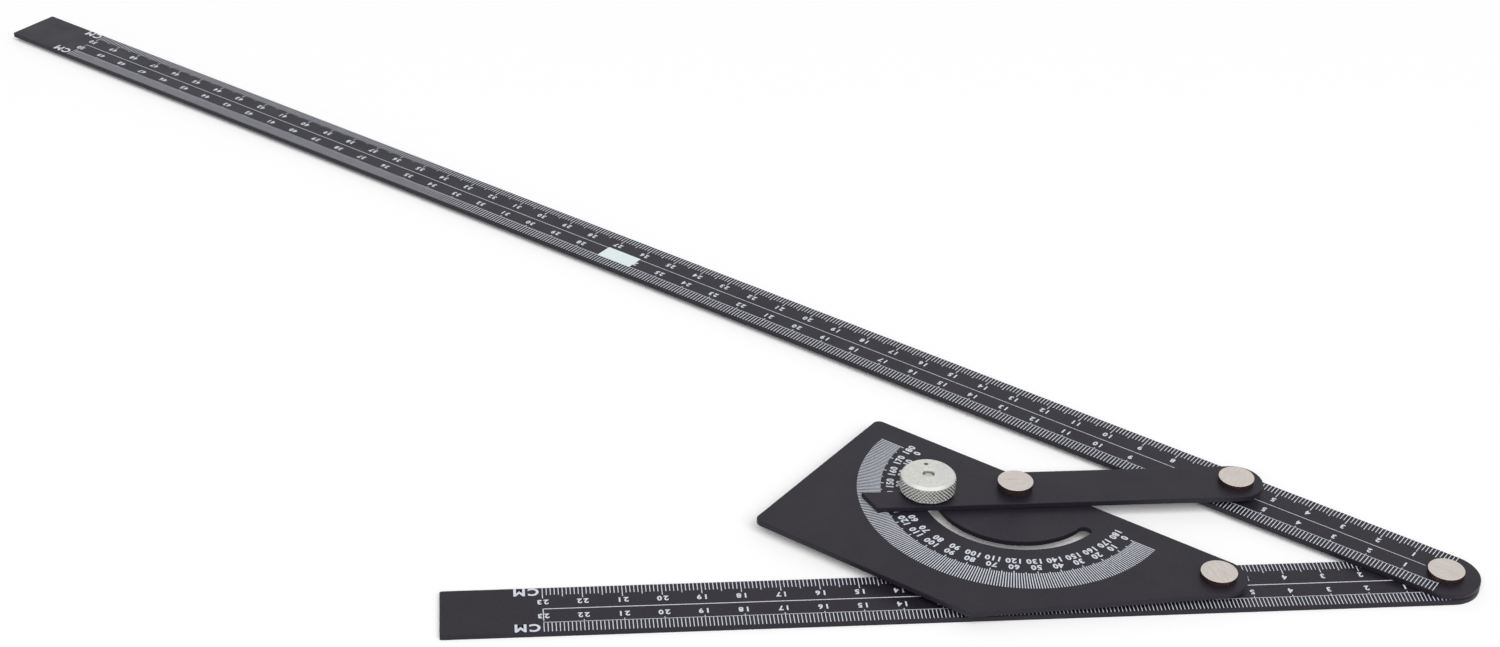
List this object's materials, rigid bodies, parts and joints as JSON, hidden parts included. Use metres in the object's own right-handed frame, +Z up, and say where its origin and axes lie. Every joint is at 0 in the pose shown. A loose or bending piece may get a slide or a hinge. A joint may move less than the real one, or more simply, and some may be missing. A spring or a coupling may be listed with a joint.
{
  "type": "adjustable angle ruler",
  "caption": "Folding angle ruler: graduated sheet arms on a corner rivet, with a linked protractor plate, a pointer link and a knurled clamp nut in an arc slot.",
  "frame": {"origin": "on the corner rivet's axis, in the plane of the short arm's underside, which is the plane the ruler lies on", "axes": "+X from the short arm's free end to the corner, +Y the side to which the long arm opens, +Z up from the resting plane"},
  "size_m": [0.4139, 0.3623, 0.0121],
  "materials": {
    "black_sheet": "black anodised, satin, white printed marks",
    "rivet_nickel": "nickel plated, finely brushed",
    "washer_nylon": "natural nylon film",
    "dark_spacer": "black nylon",
    "screw_steel": "zinc plated",
    "nut_satin": "bead blasted, knurled rim",
    "label_film": "bare film label"
  },
  "bodies": {
    "short_arm_group": {"short_arm": "black_sheet", "corner_rivet": "rivet_nickel", "plate_rivet": "rivet_nickel", "corner_washer": "washer_nylon", "plate_spacer": "dark_spacer"},
    "long_arm_group": {"long_arm": "black_sheet", "link_rivet": "rivet_nickel", "link_spacer": "dark_spacer", "label": "label_film"},
    "plate_group": {"protractor_plate": "black_sheet", "centre_rivet": "rivet_nickel", "centre_washer": "washer_nylon", "centre_spacer": "dark_spacer"},
    "link_group": {"link_arm": "black_sheet", "clamp_screw": "screw_steel"},
    "washer_group": {"clamp_washer": "screw_steel"},
    "nut_group": {"clamp_nut": "nut_satin"}
  },
  "joints": [
    {"name": "long_arm_swing", "type": "hinge", "parent": "short_arm_group", "child": "long_arm_group", "pos_m": [0, 0, 0.0017], "axis": [0, 0, -1], "range_deg": [-25.75, 124.25]},
    {"name": "plate_swing", "type": "hinge", "parent": "short_arm_group", "child": "plate_group", "pos_m": [-0.06, 0, 0.0034], "axis": [0, 0, -1], "range_deg": [-26.25, 124.75]},
    {"name": "link_swing", "type": "hinge", "parent": "long_arm_group", "child": "link_group", "pos_m": [-0.04545, 0.03917, 0.0051], "axis": [0, 0, -1], "range_deg": [-124.75, 26.25]},
    {"name": "nut_lift", "type": "slide", "parent": "link_group", "child": "washer_group", "axis": [0, 0, 1], "range_m": [0, 0.0025]},
    {"name": "nut_turn", "type": "hinge", "parent": "washer_group", "child": "nut_group", "pos_m": [-0.12895, 0.03917, 0.0071], "axis": [0, 0, 1], "range_deg": [0, 720]}
  ],
  "couplings": [
    {"joint": "plate_swing", "follows": "long_arm_swing", "ratio": 1},
    {"joint": "link_swing", "follows": "long_arm_swing", "ratio": -1},
    {"joint": "nut_lift", "follows": "nut_turn", "m_per_rad": 0.000079577}
  ]
}
